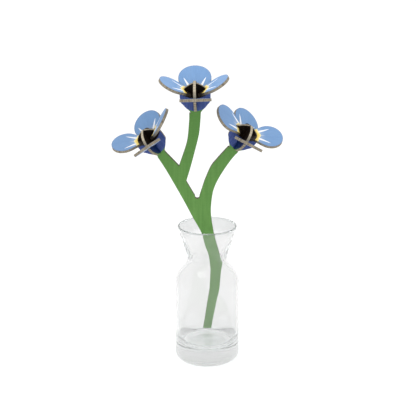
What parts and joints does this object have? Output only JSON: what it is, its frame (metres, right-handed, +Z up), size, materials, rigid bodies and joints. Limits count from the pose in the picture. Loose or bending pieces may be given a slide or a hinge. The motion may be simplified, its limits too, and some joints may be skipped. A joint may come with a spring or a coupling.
{
  "type": "wooden forget-me-not flowers in glass carafe",
  "caption": "Slot-together painted plywood spray of light blue flowers on a branched green stem, standing in a small waisted clear glass carafe.",
  "frame": {"origin": "centre of the carafe's flat underside, on the surface it stands on", "axes": "+Z up; the flowers face -Y; +X to the right as seen from the front"},
  "size_m": [0.1564, 0.134, 0.3085],
  "materials": {
    "clear_glass": "clear, smooth, glossy",
    "green_printed_plywood": "matte print on plywood, with a bare cut edge",
    "dark_blue_printed_plywood": "matte print on plywood, with a bare cut edge",
    "light_blue_printed_plywood": "matte print on plywood, with a bare cut edge"
  },
  "bodies": {
    "root": {"carafe": "clear_glass", "stem_board": "green_printed_plywood", "top_cross": "dark_blue_printed_plywood", "top_petal_left": "light_blue_printed_plywood", "top_petal_right": "light_blue_printed_plywood", "top_petal_back": "light_blue_printed_plywood", "top_petal_front": "light_blue_printed_plywood", "left_cross": "dark_blue_printed_plywood", "left_petal_left": "light_blue_printed_plywood", "left_petal_right": "light_blue_printed_plywood", "left_petal_back": "light_blue_printed_plywood", "left_petal_front": "light_blue_printed_plywood", "right_cross": "dark_blue_printed_plywood", "right_petal_left": "light_blue_printed_plywood", "right_petal_right": "light_blue_printed_plywood", "right_petal_back": "light_blue_printed_plywood", "right_petal_front": "light_blue_printed_plywood"}
  },
  "joints": []
}
